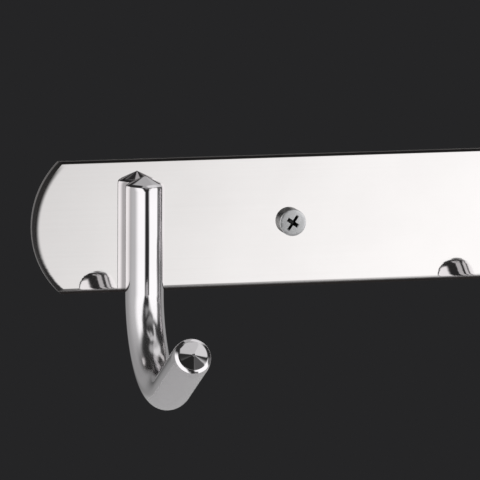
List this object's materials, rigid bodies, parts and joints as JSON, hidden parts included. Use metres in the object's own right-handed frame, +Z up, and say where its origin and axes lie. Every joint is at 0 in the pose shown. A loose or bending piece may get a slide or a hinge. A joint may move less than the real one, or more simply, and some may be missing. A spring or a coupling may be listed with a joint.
{
  "type": "wall coat rack",
  "caption": "Polished flat-bar steel wall rail with arc ends, bent round-bar coat hooks welded to its face and cross-recess wall screws.",
  "frame": {"origin": "middle of the rail's flat back, where it lies on the wall", "axes": "+X along the rail to the right as seen from the room, +Y into the wall, +Z up; the hooks reach out along -Y"},
  "size_m": [0.356, 0.0899, 0.0598],
  "materials": {
    "polished_rail": "mirror-polished stainless flat bar",
    "polished_bar": "mirror-polished stainless round bar",
    "screw_steel": "bright stainless screw"
  },
  "bodies": {
    "root": {"rail_plate": "polished_rail", "hooks": "polished_bar", "wall_screws": "screw_steel"}
  },
  "joints": []
}
